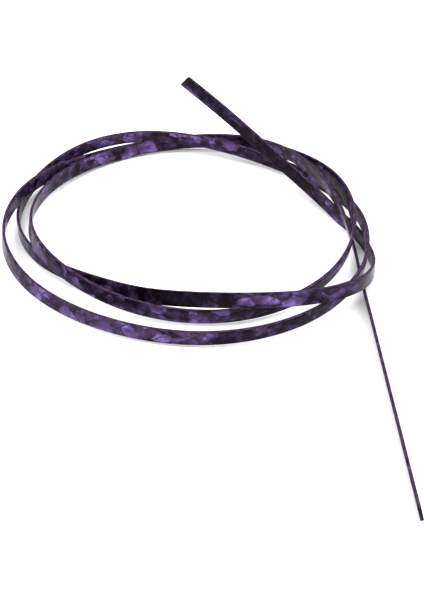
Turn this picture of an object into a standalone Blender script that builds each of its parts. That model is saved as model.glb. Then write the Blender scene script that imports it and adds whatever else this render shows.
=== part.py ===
"""Coiled celluloid binding strip: one flat springy strip lying in loose turns.

The strip stands on its narrow edge and is wound a little over three turns. Its
turns cross over one another, so where one turn lies on the next it is a strip
width higher. One end springs up over the back of the coil. The other end runs out
straight along the surface.

Frame: +Z up, the surface at Z = 0, the origin at the middle of the footprint, and
the straight end running out towards -Y.
"""

import math

import bmesh
import bpy
import numpy as np

MM = 0.001

STRIP_WIDTH = 6.0
STRIP_THICKNESS = 1.2

# The coil's course is told by places along it, in degrees travelled clockwise round the
# coil from the free end at the back: 180 is the front of the first turn, 540 the front
# of the second and 900 the front of the third.
FIRST_ANGLE = 90.0
STATION_STEP = 20.0
COIL_STATIONS = 60

# (degrees, radius in mm): every place where a turn is widest or narrowest, and the
# places between where it bends.
RADII = [
    (0, 49.5), (25, 50.5), (60, 58.5), (95, 73.5), (125, 82.5), (162, 67),
    (180, 56.6), (210, 49.5), (260, 63.5), (310, 76), (345, 71.5), (385, 68.3),
    (430, 71), (455, 73.5), (480, 78.5), (500, 78.5), (530, 73), (570, 69),
    (620, 73), (655, 70.8), (725, 76.5), (760, 72.9), (800, 69), (830, 69),
    (880, 61.2), (930, 57.4), (965, 60), (1000, 64), (1040, 70), (1080, 74),
    (1110, 70.8), (1150, 64.5), (1180, 70),
]

# (degrees, height in mm of the strip's lowest edge): the free end springs up, and then
# each rise is where the strip climbs over an earlier turn.
RISES = [
    (0, 45.5), (40, 18), (60, 7), (80, 0), (100, 0), (125, 8), (150, 13),
    (164, 11.8), (176, 8.9), (190, 5.2), (204, 2.8), (225, 1.6), (270, 0), (300, 2),
    (325, 7), (340, 7.8), (375, 3.8), (400, 1.2), (440, 4.4), (458, 7.3),
    (490, 5.5), (520, 2), (560, 1), (600, 3.5), (640, 7), (660, 5.5), (680, 2),
    (710, 0), (740, 3), (760, 5.5), (800, 10), (845, 3.8), (890, 1.1), (930, 4.2),
    (965, 7.2), (1000, 4.2), (1030, 2.2), (1065, 1), (1100, 5.8), (1130, 9),
    (1160, 6.5), (1180, 1),
]

# (degrees, lean in degrees of the strip's top edge outwards): it tips inwards where it
# rides over another turn, and stands about upright where it lies low.
LEANS = [
    (0, -18), (40, -2), (90, 3), (150, -12), (180, -19), (205, -27), (240, -8),
    (290, -1), (345, -12), (410, 1), (445, 0), (485, 6), (590, -11), (625, -7),
    (670, 7), (725, 0), (765, 2), (820, 8), (850, 8), (900, -2), (940, -6),
    (980, -12), (1040, 6), (1080, -3), (1110, -7), (1145, -9), (1180, -14),
]

# The straight end leaves the last station along one heading, flat on the surface.
TAIL_HEADING = -87.5
TAIL_LEAN = -15.0
TAIL_SPACING = 20.85
TAIL_STATIONS = 7
TAIL_CURVED_STATIONS = 3

SECTIONS_PER_STATION = 5

STRIP_COLOUR = (0.040, 0.026, 0.075, 1.0)
STRIP_ROUGHNESS = 0.12


def clear_scene():
    for existing in list(bpy.data.objects):
        bpy.data.objects.remove(existing, do_unlink=True)


def strip_material():
    material = bpy.data.materials.new("purple_pearl_celluloid")
    material.use_nodes = True
    shader = material.node_tree.nodes["Principled BSDF"]
    shader.inputs["Base Color"].default_value = STRIP_COLOUR
    shader.inputs["Roughness"].default_value = STRIP_ROUGHNESS
    shader.inputs["Metallic"].default_value = 0.0
    material.diffuse_color = STRIP_COLOUR
    return material


def smooth_curve(places, rows, at):
    """Values and slopes, at some places, of the natural cubic curve through rows."""
    gaps = np.diff(places)
    rates = np.diff(rows, axis=0) / gaps[:, None]
    count = len(rows)
    system = np.eye(count)
    right_side = np.zeros_like(rows)
    for index in range(1, count - 1):
        before, after = gaps[index - 1:index + 1]
        system[index, index - 1:index + 2] = (before, 2.0 * (before + after), after)
        right_side[index] = 6.0 * (rates[index] - rates[index - 1])
    bend = np.linalg.solve(system, right_side)
    left = np.clip(np.searchsorted(places, at, side="right") - 1, 0, count - 2)
    gap = gaps[left][:, None]
    share = (at - places[left])[:, None] / gap
    rest = 1.0 - share
    sag = (rest ** 3 - rest) * bend[left] + (share ** 3 - share) * bend[left + 1]
    tilt = (1.0 - 3.0 * rest ** 2) * bend[left] + (3.0 * share ** 2 - 1.0) * bend[left + 1]
    values = rest * rows[left] + share * rows[left + 1] + sag * gap ** 2 / 6.0
    slopes = rates[left] + tilt * gap / 6.0
    return values, slopes


def along_course(course, at):
    """A course's value, such as its radius, at some places along the coil."""
    table = np.array(course, dtype=float)
    values, slopes = smooth_curve(table[:, 0], table[:, 1:], at)
    return values[:, 0]


def stations():
    """Rows of x, y, lowest height and lean, from the free end to the tail's tip."""
    travelled = STATION_STEP * np.arange(COIL_STATIONS)
    angle = np.radians(FIRST_ANGLE - travelled)
    radius = along_course(RADII, travelled)
    rise = np.maximum(along_course(RISES, travelled), 0.0)
    lean = along_course(LEANS, travelled)
    coil = np.stack([radius * np.cos(angle), radius * np.sin(angle), rise, lean], axis=1)
    heading = math.radians(TAIL_HEADING)
    run = TAIL_SPACING * np.arange(1, TAIL_STATIONS + 1)
    tail = np.zeros((TAIL_STATIONS, 4))
    tail[:, 0] = coil[-1, 0] + run * math.cos(heading)
    tail[:, 1] = coil[-1, 1] + run * math.sin(heading)
    tail[:, 3] = TAIL_LEAN
    return np.concatenate([coil, tail])


def unit(vectors):
    return vectors / np.linalg.norm(vectors, axis=1)[:, None]


def section_frames():
    """Centre, up-the-width and through-the-thickness directions of each section."""
    rows = stations()
    last_curved = len(rows) - 1 - TAIL_STATIONS + TAIL_CURVED_STATIONS
    curved = np.linspace(0.0, last_curved, last_curved * SECTIONS_PER_STATION + 1)
    parameters = np.append(curved, len(rows) - 1.0)
    values, slopes = smooth_curve(np.arange(len(rows)), rows, parameters)
    heading = math.radians(TAIL_HEADING)
    slopes[-2:, :3] = (math.cos(heading), math.sin(heading), 0.0)
    values[-2:, 3] = TAIL_LEAN
    along = unit(slopes[:, :3])
    flat = np.zeros(len(along))
    outward = unit(np.stack([-along[:, 1], along[:, 0], flat], axis=1))
    upward = unit(np.cross(outward, along))
    upward *= np.sign(upward[:, 2])[:, None]
    lean = np.radians(values[:, 3])[:, None]
    up_width = upward * np.cos(lean) + outward * np.sin(lean)
    through = outward * np.cos(lean) - upward * np.sin(lean)
    lowest = np.maximum(values[:, 2], 0.0)
    half_height = STRIP_WIDTH / 2 * abs(up_width[:, 2]) + STRIP_THICKNESS / 2 * abs(through[:, 2])
    centre = np.stack([values[:, 0], values[:, 1], lowest + half_height], axis=1)
    return centre, up_width, through


def section_corners():
    """The four corners of every section, in mm, centred over the footprint."""
    centre, up_width, through = section_frames()
    half_width = up_width * STRIP_WIDTH / 2
    half_thickness = through * STRIP_THICKNESS / 2
    corners = np.stack([
        centre + half_width + half_thickness,
        centre + half_width - half_thickness,
        centre - half_width - half_thickness,
        centre - half_width + half_thickness,
    ], axis=1)
    low = corners.min(axis=(0, 1))
    high = corners.max(axis=(0, 1))
    corners[:, :, :2] -= ((low + high) / 2)[:2]
    corners[:, :, 2] -= low[2]
    return corners


def build_strip():
    mesh = bpy.data.meshes.new("binding_strip")
    body = bmesh.new()
    rings = []
    for corners in section_corners():
        rings.append([body.verts.new(corner * MM) for corner in corners])
    for ring, following in zip(rings, rings[1:]):
        for side in range(4):
            other = (side + 1) % 4
            body.faces.new((ring[side], ring[other], following[other], following[side]))
    body.faces.new(rings[0])
    body.faces.new(reversed(rings[-1]))
    bmesh.ops.recalc_face_normals(body, faces=body.faces)
    body.to_mesh(mesh)
    body.free()
    mesh.shade_smooth()
    mesh.set_sharp_from_angle(angle=math.radians(40))
    mesh.materials.append(strip_material())
    strip = bpy.data.objects.new("binding_strip", mesh)
    bpy.context.scene.collection.objects.link(strip)


clear_scene()
build_strip()
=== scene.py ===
import math

import bmesh
import bpy
import numpy as np
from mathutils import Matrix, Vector


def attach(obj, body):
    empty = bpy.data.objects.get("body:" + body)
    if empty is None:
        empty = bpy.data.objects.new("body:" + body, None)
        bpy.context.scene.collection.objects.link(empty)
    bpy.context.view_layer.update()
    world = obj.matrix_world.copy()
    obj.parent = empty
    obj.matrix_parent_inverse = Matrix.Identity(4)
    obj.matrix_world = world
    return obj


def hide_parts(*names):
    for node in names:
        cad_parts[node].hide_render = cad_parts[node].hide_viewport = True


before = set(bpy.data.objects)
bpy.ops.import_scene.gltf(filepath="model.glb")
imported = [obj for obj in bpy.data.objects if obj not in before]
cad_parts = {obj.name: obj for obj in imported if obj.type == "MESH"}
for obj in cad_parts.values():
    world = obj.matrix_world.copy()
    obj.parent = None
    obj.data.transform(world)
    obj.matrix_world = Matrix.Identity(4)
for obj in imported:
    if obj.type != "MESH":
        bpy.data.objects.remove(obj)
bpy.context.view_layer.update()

MM = 0.001

# ---------------------------------------------------------------- the strip's route
# The same course as the CAD part's. It is told by places along the coil, in degrees
# travelled clockwise from the free end at the back: 180 is the front of the first turn,
# 540 the front of the second and 900 the front of the third.
STRIP_WIDTH = 6.0
STRIP_THICKNESS = 1.2
FIRST_ANGLE = 90.0
STATION_STEP = 20.0
COIL_STATIONS = 60

# (degrees, radius in mm): every place where a turn is widest or narrowest, and the
# places between where it bends.
RADII = [
    (0, 49.5), (25, 50.5), (60, 58.5), (95, 73.5), (125, 82.5), (162, 67),
    (180, 56.6), (210, 49.5), (260, 63.5), (310, 76), (345, 71.5), (385, 68.3),
    (430, 71), (455, 73.5), (480, 78.5), (500, 78.5), (530, 73), (570, 69),
    (620, 73), (655, 70.8), (725, 76.5), (760, 72.9), (800, 69), (830, 69),
    (880, 61.2), (930, 57.4), (965, 60), (1000, 64), (1040, 70), (1080, 74),
    (1110, 70.8), (1150, 64.5), (1180, 70),
]

# (degrees, height in mm of the strip's lowest edge): the free end springs up, and then
# each rise is where the strip climbs over an earlier turn.
RISES = [
    (0, 45.5), (40, 18), (60, 7), (80, 0), (100, 0), (125, 8), (150, 13),
    (164, 11.8), (176, 8.9), (190, 5.2), (204, 2.8), (225, 1.6), (270, 0), (300, 2),
    (325, 7), (340, 7.8), (375, 3.8), (400, 1.2), (440, 4.4), (458, 7.3),
    (490, 5.5), (520, 2), (560, 1), (600, 3.5), (640, 7), (660, 5.5), (680, 2),
    (710, 0), (740, 3), (760, 5.5), (800, 10), (845, 3.8), (890, 1.1), (930, 4.2),
    (965, 7.2), (1000, 4.2), (1030, 2.2), (1065, 1), (1100, 5.8), (1130, 9),
    (1160, 6.5), (1180, 1),
]

# (degrees, lean in degrees of the strip's top edge outwards): it tips inwards where it
# rides over another turn, and stands about upright where it lies low.
LEANS = [
    (0, -18), (40, -2), (90, 3), (150, -12), (180, -19), (205, -27), (240, -8),
    (290, -1), (345, -12), (410, 1), (445, 0), (485, 6), (590, -11), (625, -7),
    (670, 7), (725, 0), (765, 2), (820, 8), (850, 8), (900, -2), (940, -6),
    (980, -12), (1040, 6), (1080, -3), (1110, -7), (1145, -9), (1180, -14),
]

# The straight end leaves the last station along one heading, flat on the surface.
TAIL_HEADING = -87.5
TAIL_LEAN = -15.0
TAIL_SPACING = 20.85
TAIL_STATIONS = 7

# (degrees, how much more than usual the pearl flakes gather, and painted shade): the table is partly
# the pearl's uneven flakes and partly painted shade; below zero the strip is painted nearly black where
# its faces lie in shade, as along the front of the first turn.
CROWDING_AND_PAINTED_SHADE = [
    (0, 0.0), (30, -0.25), (60, -0.25), (80, 0.0), (130, 0.04), (155, 0.04), (168, -0.24),
    (235, -0.18), (255, 0.0), (340, 0.10), (365, 0.0), (480, 0.0), (500, -0.14), (522, -0.14),
    (532, 0.12), (592, 0.12), (610, 0.0), (860, -0.14), (878, -0.12), (886, 0.14), (906, 0.14),
    (920, -0.06), (1050, 0.12), (1090, 0.0), (1320, 0.0),
]

# The fine surface: sections along the strip, and rounded edges round each section.
SECTION_SPACING = 1.15
DENSE_PER_STATION = 40
EDGE_RADIUS = 0.28
EDGE_SEGMENTS = 3
SIDE_SEGMENTS = 6
END_CORNER_RADIUS = 0.9
END_SECTIONS = 7
CUT_BEVEL = 0.15
CUT_THINNING = 0.12

# How much smaller than the free end's upper corner the other corners are rounded.
TAIL_CORNER_SHARPNESS = 1.6
LOWER_CORNER_SHARPNESS = 2.5

# Two layers of pearl flakes. A cell is the room that one flake has, in mm along, across
# and through the strip, and the warp is how far its outline wanders.
BROAD_FLAKES = {
    "cell": (8.0, 5.5, 3.0),
    "warp": (4.0, 2.5, 1.0),
    "warp_scale": 0.22,
    "streaks": 3.5,
    "rare": 0.30,
    "strength": 1.0,
}
FINE_FLAKES = {
    "cell": (3.4, 2.2, 2.0),
    "warp": (2.4, 1.6, 0.8),
    "warp_scale": 0.35,
    "streaks": 4.0,
    "rare": 0.50,
    "strength": 0.85,
}

# The camera, in metres and degrees, and the studio.
CAMERA_PLACE = (0.0101, -0.3714, 0.2693)
CAMERA_PITCH = 36.11
CAMERA_LENS = 71.3
FLOOR_HALF_SIZE = 6.0
LIGHT_SIZE = 1.3
KEY_POWER = 26.0
FILL_POWER = 20.0


def smooth_curve(places, rows, at):
    """Values and slopes, at some places, of the natural cubic curve through rows."""
    gaps = np.diff(places)
    rates = np.diff(rows, axis=0) / gaps[:, None]
    count = len(rows)
    system = np.eye(count)
    right_side = np.zeros_like(rows)
    for index in range(1, count - 1):
        before, after = gaps[index - 1:index + 1]
        system[index, index - 1:index + 2] = (before, 2.0 * (before + after), after)
        right_side[index] = 6.0 * (rates[index] - rates[index - 1])
    bend = np.linalg.solve(system, right_side)
    left = np.clip(np.searchsorted(places, at, side="right") - 1, 0, count - 2)
    gap = gaps[left][:, None]
    share = (at - places[left])[:, None] / gap
    rest = 1.0 - share
    sag = (rest ** 3 - rest) * bend[left] + (share ** 3 - share) * bend[left + 1]
    tilt = (1.0 - 3.0 * rest ** 2) * bend[left] + (3.0 * share ** 2 - 1.0) * bend[left + 1]
    values = rest * rows[left] + share * rows[left + 1] + sag * gap ** 2 / 6.0
    slopes = rates[left] + tilt * gap / 6.0
    return values, slopes


def along_course(course, at):
    """A course's value, such as its radius, at some places along the coil."""
    table = np.array(course, dtype=float)
    values, slopes = smooth_curve(table[:, 0], table[:, 1:], at)
    return values[:, 0]


def stations():
    """Rows of x, y, lowest height and lean, from the free end to the tail's tip."""
    travelled = STATION_STEP * np.arange(COIL_STATIONS)
    angle = np.radians(FIRST_ANGLE - travelled)
    radius = along_course(RADII, travelled)
    rise = np.maximum(along_course(RISES, travelled), 0.0)
    lean = along_course(LEANS, travelled)
    coil = np.stack([radius * np.cos(angle), radius * np.sin(angle), rise, lean], axis=1)
    heading = math.radians(TAIL_HEADING)
    run = TAIL_SPACING * np.arange(1, TAIL_STATIONS + 1)
    tail = np.zeros((TAIL_STATIONS, 4))
    tail[:, 0] = coil[-1, 0] + run * math.cos(heading)
    tail[:, 1] = coil[-1, 1] + run * math.sin(heading)
    tail[:, 3] = TAIL_LEAN
    return np.concatenate([coil, tail])


def unit(vectors):
    return vectors / np.linalg.norm(vectors, axis=1)[:, None]


def section_frames(parameters):
    """Centre, up-the-width and through-the-thickness directions of each section."""
    rows = stations()
    values, slopes = smooth_curve(np.arange(len(rows)), rows, parameters)
    along = unit(slopes[:, :3])
    flat = np.zeros(len(along))
    outward = unit(np.stack([-along[:, 1], along[:, 0], flat], axis=1))
    upward = unit(np.cross(outward, along))
    upward *= np.sign(upward[:, 2])[:, None]
    lean = np.radians(values[:, 3])[:, None]
    up_width = upward * np.cos(lean) + outward * np.sin(lean)
    through = outward * np.cos(lean) - upward * np.sin(lean)
    lowest = np.maximum(values[:, 2], 0.0)
    half_height = STRIP_WIDTH / 2 * abs(up_width[:, 2]) + STRIP_THICKNESS / 2 * abs(through[:, 2])
    centre = np.stack([values[:, 0], values[:, 1], lowest + half_height], axis=1)
    return centre, up_width, through


def frame_shift(centre, up_width, through):
    """Moves the coil's centre to where the CAD has it, over the middle of the footprint."""
    reach = abs(up_width) * STRIP_WIDTH / 2 + abs(through) * STRIP_THICKNESS / 2
    low = (centre - reach).min(axis=0)
    high = (centre + reach).max(axis=0)
    middle = (low + high) / 2
    return np.array([middle[0], middle[1], low[2]])


def section_outline():
    """Points (across the width, through the thickness) of a section with rounded edges."""
    half_width = STRIP_WIDTH / 2
    half_thickness = STRIP_THICKNESS / 2
    inner = (half_width - EDGE_RADIUS, half_thickness - EDGE_RADIUS)
    outline = []
    corners = [(1, 1), (-1, 1), (-1, -1), (1, -1)]
    for turn, (width_sign, thickness_sign) in enumerate(corners):
        for step in range(EDGE_SEGMENTS + 1):
            angle = math.radians(90.0 * (turn + step / EDGE_SEGMENTS))
            across = width_sign * inner[0] + EDGE_RADIUS * math.cos(angle)
            through = thickness_sign * inner[1] + EDGE_RADIUS * math.sin(angle)
            outline.append((across, through))
        if turn in (0, 2):
            for step in range(1, SIDE_SEGMENTS):
                across = width_sign * inner[0] * (1.0 - 2.0 * step / SIDE_SEGMENTS)
                outline.append((across, thickness_sign * half_thickness))
    return outline


def end_trim(distance):
    """How far a square end's rounded corner cuts into the width, at a distance from the cut."""
    if distance >= END_CORNER_RADIUS:
        return 0.0
    short = END_CORNER_RADIUS - distance
    return END_CORNER_RADIUS - math.sqrt(END_CORNER_RADIUS ** 2 - short ** 2)


def section_distances(length):
    """Distances along the strip at which it has a section, closer together at its ends."""
    near_end = np.linspace(0.0, END_CORNER_RADIUS, END_SECTIONS)
    middle = np.linspace(END_CORNER_RADIUS, length - END_CORNER_RADIUS, int(length / SECTION_SPACING))
    return np.concatenate([near_end[:-1], middle, length - near_end[::-1][1:]])


def strip_geometry():
    """Every point with its place in the strip and its flake density and painted shade, then the centre
    line and its length.
    """
    count = COIL_STATIONS + TAIL_STATIONS
    dense = np.linspace(0.0, count - 1.0, count * DENSE_PER_STATION)
    centre, up_width, through = section_frames(dense)
    shift = frame_shift(centre, up_width, through)
    steps = np.linalg.norm(np.diff(centre, axis=0), axis=1)
    travelled = np.concatenate([[0.0], np.cumsum(steps)])
    length = travelled[-1]
    distances = section_distances(length)
    parameters = np.interp(distances, travelled, dense)
    centre, up_width, through = section_frames(parameters)
    centre = centre - shift
    # Each section's flake density and painted shade, from the table along the coil.
    crowding_and_painted_shade = np.array(CROWDING_AND_PAINTED_SHADE, dtype=float)
    crowding_and_painted_shade = np.interp(parameters * STATION_STEP, crowding_and_painted_shade[:, 0], crowding_and_painted_shade[:, 1])
    outline = section_outline()
    rings = []
    places = []
    for index, distance in enumerate(distances):
        from_free_end = distance
        from_tail_tip = length - distance
        top = STRIP_WIDTH / 2
        top = top - end_trim(from_free_end) - end_trim(from_tail_tip * TAIL_CORNER_SHARPNESS)
        bottom = STRIP_WIDTH / 2 - end_trim(from_free_end * LOWER_CORNER_SHARPNESS)
        bottom = bottom - end_trim(from_tail_tip * LOWER_CORNER_SHARPNESS)
        end_gap = min(from_free_end, from_tail_tip)
        thinning = 1.0 - CUT_THINNING * max(0.0, 1.0 - end_gap / CUT_BEVEL)
        ring = []
        for across, deep in outline:
            reach = across * (top if across > 0 else bottom) / (STRIP_WIDTH / 2)
            point = centre[index] + up_width[index] * reach + through[index] * deep * thinning
            ring.append(Vector(point) * MM)
            places.append((distance * MM, reach * MM, deep * MM))
        rings.append(ring)
    return rings, places, np.repeat(crowding_and_painted_shade, len(outline)), centre * MM, length * MM


def build_strip():
    rings, places, crowding_and_painted_shade, centre, length = strip_geometry()
    mesh = bpy.data.meshes.new("pearl_binding_strip")
    body = bmesh.new()
    loops = [[body.verts.new(point) for point in ring] for ring in rings]
    around = len(loops[0])
    for loop, following in zip(loops, loops[1:]):
        for side in range(around):
            other = (side + 1) % around
            body.faces.new((loop[side], loop[other], following[other], following[side]))
    body.faces.new(loops[0])
    body.faces.new(reversed(loops[-1]))
    bmesh.ops.recalc_face_normals(body, faces=body.faces)
    body.to_mesh(mesh)
    body.free()
    attribute = mesh.attributes.new("strip_place", "FLOAT_VECTOR", "POINT")
    attribute.data.foreach_set("vector", np.array(places).ravel())
    # The flake density and painted shade of each point, read by the material.
    attribute = mesh.attributes.new("flake_crowding_and_painted_shade", "FLOAT", "POINT")
    attribute.data.foreach_set("value", crowding_and_painted_shade)
    mesh.shade_smooth()
    mesh.set_sharp_from_angle(angle=math.radians(50))
    strip = bpy.data.objects.new("pearl_binding_strip", mesh)
    bpy.context.scene.collection.objects.link(strip)
    return strip, centre, length


# ---------------------------------------------------------------- node helpers
def add_node(tree, kind, inputs=None, **settings):
    """A node with its settings, whose inputs are numbers, colours or other nodes' outputs."""
    node = tree.nodes.new(kind)
    for name, value in settings.items():
        setattr(node, name, value)
    for key, value in (inputs or {}).items():
        socket = node.inputs[key]
        if isinstance(value, bpy.types.NodeSocket):
            tree.links.new(value, socket)
        else:
            socket.default_value = value
    return node


def maths(tree, operation, first, second=0.0, third=0.0, clamp=False):
    inputs = {0: first, 1: second}
    if operation in ("MULTIPLY_ADD", "SMOOTH_MIN", "SMOOTH_MAX"):
        inputs[2] = third
    return add_node(tree, "ShaderNodeMath", inputs, operation=operation, use_clamp=clamp).outputs[0]


def vector_maths(tree, operation, first, second=(0.0, 0.0, 0.0)):
    return add_node(tree, "ShaderNodeVectorMath", {0: first, 1: second}, operation=operation).outputs[0]


def remap(tree, value, low, high, new_low=0.0, new_high=1.0, smooth=False):
    inputs = {"Value": value, "From Min": low, "From Max": high, "To Min": new_low, "To Max": new_high}
    kind = "SMOOTHSTEP" if smooth else "LINEAR"
    return add_node(tree, "ShaderNodeMapRange", inputs, interpolation_type=kind, clamp=True).outputs[0]


def ramp(tree, factor, stops):
    node = add_node(tree, "ShaderNodeValToRGB", {"Fac": factor})
    elements = node.color_ramp.elements
    while len(elements) < len(stops):
        elements.new(0.5)
    for element, (position, colour) in zip(elements, stops):
        element.position = position
        element.color = (*colour, 1.0)
    return node.outputs["Color"]


def noise(tree, vector, scale, detail=2.0, roughness=0.5, output="Fac"):
    inputs = {"Vector": vector, "Scale": scale, "Detail": detail, "Roughness": roughness}
    return add_node(tree, "ShaderNodeTexNoise", inputs).outputs[output]


# ---------------------------------------------------------------- pearl celluloid
def flake_layer(tree, place, cell, warp, warp_scale, streaks):
    """One layer of pearl flakes: a random value per flake, its grain, and a painted highlight, each
    flake painted lighter towards one side.
    """
    drift = noise(tree, place, warp_scale, 2.0, 0.5, "Color")
    drift = vector_maths(tree, "SUBTRACT", drift, (0.5, 0.5, 0.5))
    drift = vector_maths(tree, "MULTIPLY", drift, warp)
    bent = vector_maths(tree, "ADD", place, drift)
    scaled = vector_maths(tree, "DIVIDE", bent, cell)
    cells = add_node(tree, "ShaderNodeTexVoronoi", {"Vector": scaled, "Scale": 1.0, "Randomness": 1.0})
    random = add_node(tree, "ShaderNodeSeparateColor", {"Color": cells.outputs["Color"]}).outputs
    local = vector_maths(tree, "SUBTRACT", scaled, cells.outputs["Position"])
    turn = maths(tree, "MULTIPLY", random[0], math.tau)
    spin = {"Vector": local, "Angle": turn}
    turned = add_node(tree, "ShaderNodeVectorRotate", spin, rotation_type="Z_AXIS").outputs[0]
    slope = add_node(tree, "ShaderNodeSeparateXYZ", {"Vector": turned}).outputs[0]
    # Painted highlight: each flake is painted bright at one side and darker at the other, standing for
    # the shimmer of a tilted flake.
    painted_sheen = remap(tree, slope, -0.6, 0.5, 0.25, 1.0, smooth=True)
    seed = vector_maths(tree, "MULTIPLY", cells.outputs["Color"], (9.0, 9.0, 9.0))
    grain = vector_maths(tree, "MULTIPLY", turned, (0.9, streaks, 0.9))
    grain = vector_maths(tree, "ADD", grain, seed)
    grain = noise(tree, grain, 1.0, 2.0, 0.55)
    grain = remap(tree, grain, 0.32, 0.64, 0.50, 1.0, smooth=True)
    edges = {"Vector": scaled, "Scale": 1.0, "Randomness": 1.0}
    rim = add_node(tree, "ShaderNodeTexVoronoi", edges, feature="DISTANCE_TO_EDGE").outputs["Distance"]
    rim = remap(tree, rim, 0.0, 0.06, 0.20, 1.0, smooth=True)
    painted_sheen = maths(tree, "MULTIPLY", painted_sheen, rim)
    return random, maths(tree, "MULTIPLY", painted_sheen, grain)


def flake_light(tree, place, crowd_and_painted_shade, cell, warp, warp_scale, streaks, rare, strength):
    """How bright the layer's flakes are: only those past a threshold show, more where they gather and
    fewer where painted shade is laid on.
    """
    random, painted_sheen = flake_layer(tree, place, cell, warp, warp_scale, streaks)
    level = maths(tree, "ADD", random[1], crowd_and_painted_shade)
    level = remap(tree, level, rare, rare + 0.60, 0.0, strength, smooth=True)
    # Each shown flake keeps its painted highlight and its grain.
    return maths(tree, "MULTIPLY", level, painted_sheen)


def sawn_edge(tree, place):
    """1 on the two narrow sawn edges of the strip and 0 on its broad faces."""
    across = add_node(tree, "ShaderNodeSeparateXYZ", {"Vector": place}).outputs[1]
    across = maths(tree, "ABSOLUTE", across)
    rounding_starts = STRIP_WIDTH / 2 - EDGE_RADIUS
    fully_edge = STRIP_WIDTH / 2 - EDGE_RADIUS / 3
    return remap(tree, across, rounding_starts, fully_edge, 0.0, 1.0, smooth=True)


def pearl_material():
    material = bpy.data.materials.new("purple_pearl_celluloid")
    material.use_nodes = True
    tree = material.node_tree
    shader = tree.nodes["Principled BSDF"]
    place = add_node(tree, "ShaderNodeAttribute", attribute_name="strip_place").outputs["Vector"]
    place = vector_maths(tree, "MULTIPLY", place, (1000.0, 1000.0, 1000.0))

    # The flakes gather along some stretches at random; the course listed along the coil adds painted
    # shade, leaving the stretches whose faces lie in shade nearly black.
    crowd_and_painted_shade = noise(tree, place, 0.045, 2.0, 0.5)
    crowd_and_painted_shade = remap(tree, crowd_and_painted_shade, 0.36, 0.64, -0.12, 0.12)
    # The course along the coil: flake density and painted shade.
    course = add_node(tree, "ShaderNodeAttribute", attribute_name="flake_crowding_and_painted_shade").outputs["Fac"]
    crowd_and_painted_shade = maths(tree, "ADD", crowd_and_painted_shade, course)
    broad = flake_light(tree, place, crowd_and_painted_shade, **BROAD_FLAKES)
    fine = flake_light(tree, place, crowd_and_painted_shade, **FINE_FLAKES)
    pearl = maths(tree, "SMOOTH_MAX", broad, fine, 0.10)
    mottle_and_painted_shade = noise(tree, place, 0.22, 3.0, 0.6)
    mottle_and_painted_shade = remap(tree, mottle_and_painted_shade, 0.38, 0.66, 0.0, 0.32)
    # Painted shade: the course also darkens the mottle along stretches whose faces lie in shade, and
    # lightens it where the flakes gather.
    mottle_and_painted_shade = maths(tree, "MULTIPLY_ADD", course, 0.45, mottle_and_painted_shade)
    pearl = maths(tree, "ADD", pearl, mottle_and_painted_shade, clamp=True)
    # The pearl value, with its painted highlights and painted shade, picks the colour.
    colour = ramp(tree, pearl, [
        (0.00, (0.0022, 0.0012, 0.0036)),
        (0.14, (0.0085, 0.0048, 0.0130)),
        (0.34, (0.0300, 0.0190, 0.0440)),
        (0.58, (0.0600, 0.0370, 0.1020)),
        (0.82, (0.1000, 0.0580, 0.1850)),
        (1.00, (0.1650, 0.1050, 0.2900)),
    ])

    # The sawn edges show the layers end on: a plainer, paler purple, and less polish.
    edge = sawn_edge(tree, place)
    layers = vector_maths(tree, "MULTIPLY", place, (0.35, 0.0, 4.0))
    layers = noise(tree, layers, 1.0, 3.0, 0.6)
    edge_colour = ramp(tree, layers, [
        (0.40, (0.0050, 0.0025, 0.0075)),
        (0.50, (0.0260, 0.0130, 0.0340)),
        (0.60, (0.0850, 0.0520, 0.1000)),
    ])
    mixed = add_node(tree, "ShaderNodeMix", data_type="RGBA")
    tree.links.new(edge, mixed.inputs["Factor"])
    tree.links.new(colour, mixed.inputs[6])
    tree.links.new(edge_colour, mixed.inputs[7])
    tree.links.new(mixed.outputs[2], shader.inputs["Base Color"])

    # The polish is a little uneven, with faint waves along the faces.
    handling = noise(tree, place, 0.35, 4.0, 0.6)
    gloss = remap(tree, handling, 0.3, 0.75, 0.16, 0.26)
    gloss = maths(tree, "MULTIPLY_ADD", edge, 0.22, gloss)
    tree.links.new(gloss, shader.inputs["Roughness"])
    wave = noise(tree, place, 0.12, 2.0, 0.5)
    swirl = noise(tree, place, 1.1, 2.0, 0.5)
    height = maths(tree, "MULTIPLY_ADD", wave, 6.0, swirl)
    bump = add_node(tree, "ShaderNodeBump", {"Height": height, "Strength": 0.12, "Distance": 0.00012})
    tree.links.new(bump.outputs[0], shader.inputs["Normal"])
    shader.inputs["IOR"].default_value = 1.5
    shader.inputs["Specular IOR Level"].default_value = 0.06
    shader.inputs["Specular Tint"].default_value = (1.0, 0.88, 1.0, 1.0)
    return material


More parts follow.
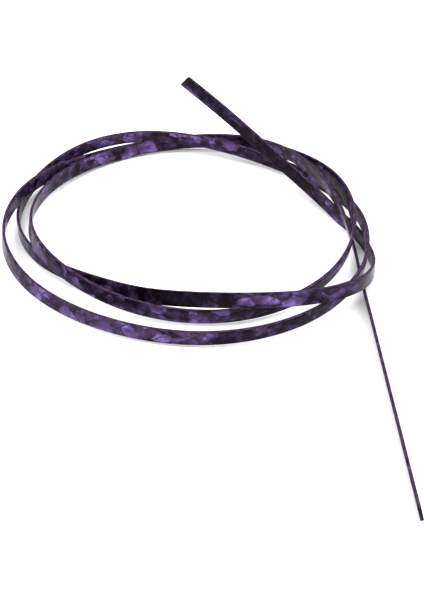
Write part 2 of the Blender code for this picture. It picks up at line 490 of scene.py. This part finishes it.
# ---------------------------------------------------------------- studio
def build_floor():
    mesh = bpy.data.meshes.new("studio_floor")
    body = bmesh.new()
    bmesh.ops.create_grid(body, x_segments=1, y_segments=1, size=FLOOR_HALF_SIZE)
    body.to_mesh(mesh)
    body.free()
    floor = bpy.data.objects.new("studio_floor", mesh)
    floor.location.z = -0.00005
    bpy.context.scene.collection.objects.link(floor)
    material = bpy.data.materials.new("studio_floor_white")
    material.use_nodes = True
    tree = material.node_tree
    shader = tree.nodes["Principled BSDF"]
    grain = add_node(tree, "ShaderNodeTexCoord").outputs["Object"]
    grain = noise(tree, grain, 6.0, 3.0, 0.5)
    tint = ramp(tree, grain, [(0.3, (0.90, 0.90, 0.90)), (0.7, (0.92, 0.92, 0.92))])
    tree.links.new(tint, shader.inputs["Base Color"])
    shader.inputs["Roughness"].default_value = 0.9
    shader.inputs["Specular IOR Level"].default_value = 0.1
    mesh.materials.append(material)


def build_world():
    """A pale studio that is brightest overhead and dimmer behind the camera."""
    world = bpy.data.worlds.new("studio")
    world.use_nodes = True
    bpy.context.scene.world = world
    tree = world.node_tree
    direction = add_node(tree, "ShaderNodeTexCoord").outputs["Generated"]
    height = add_node(tree, "ShaderNodeSeparateXYZ", {"Vector": direction}).outputs[2]
    sky = ramp(tree, height, [
        (0.00, (0.22, 0.22, 0.23)),
        (0.25, (0.12, 0.12, 0.13)),
        (0.50, (0.45, 0.45, 0.47)),
        (0.80, (1.00, 1.00, 1.00)),
    ])
    background = tree.nodes["Background"]
    tree.links.new(sky, background.inputs["Color"])
    background.inputs["Strength"].default_value = 1.4


def add_soft_light(name, place, target, size, power):
    data = bpy.data.lights.new(name, "AREA")
    data.shape = "SQUARE"
    data.size = size
    data.energy = power
    light = bpy.data.objects.new(name, data)
    light.location = place
    aim = Vector(target) - Vector(place)
    light.rotation_euler = aim.to_track_quat("-Z", "Y").to_euler()
    bpy.context.scene.collection.objects.link(light)


def add_camera():
    data = bpy.data.cameras.new("camera")
    data.sensor_width = 36.0
    data.lens = CAMERA_LENS
    data.clip_start = 0.01
    camera = bpy.data.objects.new("camera", data)
    camera.location = CAMERA_PLACE
    camera.rotation_euler = (math.radians(90.0 - CAMERA_PITCH), 0.0, 0.0)
    bpy.context.scene.collection.objects.link(camera)
    bpy.context.scene.camera = camera


add_camera()
strip, centre_line, strip_length = build_strip()
strip.data.materials.append(pearl_material())
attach(strip, "root")
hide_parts("binding_strip")

build_floor()
build_world()
add_soft_light("key_light", (-0.7, -0.5, 1.5), (0.0, 0.0, 0.0), LIGHT_SIZE, KEY_POWER)
add_soft_light("fill_light", (0.9, -0.1, 1.4), (0.0, 0.0, 0.0), LIGHT_SIZE, FILL_POWER)
bpy.context.scene.view_settings.view_transform = "Standard"
